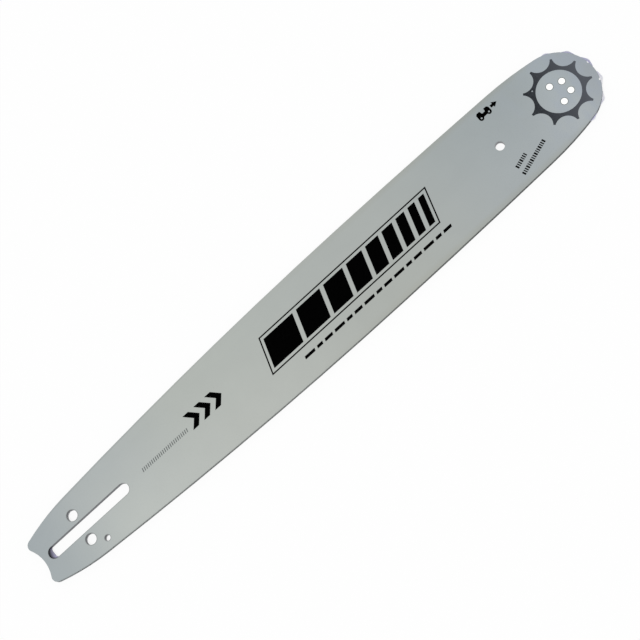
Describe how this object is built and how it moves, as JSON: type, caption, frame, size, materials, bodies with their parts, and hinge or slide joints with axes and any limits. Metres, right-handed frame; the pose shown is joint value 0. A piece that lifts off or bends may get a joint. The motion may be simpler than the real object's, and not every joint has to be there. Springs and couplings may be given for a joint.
{
  "type": "chainsaw guide bar",
  "caption": "Long flat laminated guide bar with grooved rails, a slotted concave tail and a toothed roller-bearing sprocket in its round nose.",
  "frame": {"origin": "on the bar's centreline in the stud slot, midway between the two adjuster holes, at the back face", "axes": "+X along the bar from the tail to the nose, +Y across the bar, +Z through its thickness out of the front face"},
  "size_m": [0.5156, 0.071, 0.0041],
  "materials": {
    "plate_paint": "satin grey paint over ground sheet steel",
    "core_steel": "bare rolled sheet steel, lightly oiled",
    "sprocket_steel": "hardened steel with a faint lilac temper colour",
    "bearing_steel": "ground bearing steel",
    "cage_plastic": "moulded polyamide",
    "rivet_steel": "bright, ground flush with the paint"
  },
  "bodies": {
    "bar": {"back_side_plate": "plate_paint", "core_plate": "core_steel", "front_side_plate": "plate_paint", "inner_race": "bearing_steel", "nose_rivets": "rivet_steel"},
    "sprocket": {"nose_sprocket": "sprocket_steel"},
    "cage": {"roller_cage": "cage_plastic"},
    "roller_01": {"bearing_roller_01": "bearing_steel"},
    "roller_02": {"bearing_roller_02": "bearing_steel"},
    "roller_03": {"bearing_roller_03": "bearing_steel"},
    "roller_04": {"bearing_roller_04": "bearing_steel"},
    "roller_05": {"bearing_roller_05": "bearing_steel"},
    "roller_06": {"bearing_roller_06": "bearing_steel"},
    "roller_07": {"bearing_roller_07": "bearing_steel"},
    "roller_08": {"bearing_roller_08": "bearing_steel"},
    "roller_09": {"bearing_roller_09": "bearing_steel"},
    "roller_10": {"bearing_roller_10": "bearing_steel"},
    "roller_11": {"bearing_roller_11": "bearing_steel"},
    "roller_12": {"bearing_roller_12": "bearing_steel"},
    "roller_13": {"bearing_roller_13": "bearing_steel"}
  },
  "joints": [
    {"name": "sprocket_spin", "type": "hinge", "parent": "bar", "child": "sprocket", "pos_m": [0.4465, 0, 0.00208], "axis": [0, 0, 1], "continuous": true},
    {"name": "cage_orbit", "type": "hinge", "parent": "bar", "child": "cage", "pos_m": [0.4465, 0, 0.00208], "axis": [0, 0, 1], "continuous": true},
    {"name": "roller_01_spin", "type": "hinge", "parent": "cage", "child": "roller_01", "pos_m": [0.46047, 0, 0.00208], "axis": [0, 0, 1], "continuous": true},
    {"name": "roller_02_spin", "type": "hinge", "parent": "cage", "child": "roller_02", "pos_m": [0.45887, 0.00649, 0.00208], "axis": [0, 0, 1], "continuous": true},
    {"name": "roller_03_spin", "type": "hinge", "parent": "cage", "child": "roller_03", "pos_m": [0.45444, 0.0115, 0.00208], "axis": [0, 0, 1], "continuous": true},
    {"name": "roller_04_spin", "type": "hinge", "parent": "cage", "child": "roller_04", "pos_m": [0.44818, 0.01387, 0.00208], "axis": [0, 0, 1], "continuous": true},
    {"name": "roller_05_spin", "type": "hinge", "parent": "cage", "child": "roller_05", "pos_m": [0.44155, 0.01306, 0.00208], "axis": [0, 0, 1], "continuous": true},
    {"name": "roller_06_spin", "type": "hinge", "parent": "cage", "child": "roller_06", "pos_m": [0.43604, 0.00926, 0.00208], "axis": [0, 0, 1], "continuous": true},
    {"name": "roller_07_spin", "type": "hinge", "parent": "cage", "child": "roller_07", "pos_m": [0.43294, 0.00334, 0.00208], "axis": [0, 0, 1], "continuous": true},
    {"name": "roller_08_spin", "type": "hinge", "parent": "cage", "child": "roller_08", "pos_m": [0.43294, -0.00334, 0.00208], "axis": [0, 0, 1], "continuous": true},
    {"name": "roller_09_spin", "type": "hinge", "parent": "cage", "child": "roller_09", "pos_m": [0.43604, -0.00926, 0.00208], "axis": [0, 0, 1], "continuous": true},
    {"name": "roller_10_spin", "type": "hinge", "parent": "cage", "child": "roller_10", "pos_m": [0.44155, -0.01306, 0.00208], "axis": [0, 0, 1], "continuous": true},
    {"name": "roller_11_spin", "type": "hinge", "parent": "cage", "child": "roller_11", "pos_m": [0.44818, -0.01387, 0.00208], "axis": [0, 0, 1], "continuous": true},
    {"name": "roller_12_spin", "type": "hinge", "parent": "cage", "child": "roller_12", "pos_m": [0.45444, -0.0115, 0.00208], "axis": [0, 0, 1], "continuous": true},
    {"name": "roller_13_spin", "type": "hinge", "parent": "cage", "child": "roller_13", "pos_m": [0.45887, -0.00649, 0.00208], "axis": [0, 0, 1], "continuous": true}
  ],
  "couplings": [
    {"joint": "cage_orbit", "follows": "sprocket_spin", "ratio": 0.56156},
    {"joint": "roller_01_spin", "follows": "sprocket_spin", "ratio": 4.0465},
    {"joint": "roller_02_spin", "follows": "sprocket_spin", "ratio": 4.0465},
    {"joint": "roller_03_spin", "follows": "sprocket_spin", "ratio": 4.0465},
    {"joint": "roller_04_spin", "follows": "sprocket_spin", "ratio": 4.0465},
    {"joint": "roller_05_spin", "follows": "sprocket_spin", "ratio": 4.0465},
    {"joint": "roller_06_spin", "follows": "sprocket_spin", "ratio": 4.0465},
    {"joint": "roller_07_spin", "follows": "sprocket_spin", "ratio": 4.0465},
    {"joint": "roller_08_spin", "follows": "sprocket_spin", "ratio": 4.0465},
    {"joint": "roller_09_spin", "follows": "sprocket_spin", "ratio": 4.0465},
    {"joint": "roller_10_spin", "follows": "sprocket_spin", "ratio": 4.0465},
    {"joint": "roller_11_spin", "follows": "sprocket_spin", "ratio": 4.0465},
    {"joint": "roller_12_spin", "follows": "sprocket_spin", "ratio": 4.0465},
    {"joint": "roller_13_spin", "follows": "sprocket_spin", "ratio": 4.0465}
  ]
}
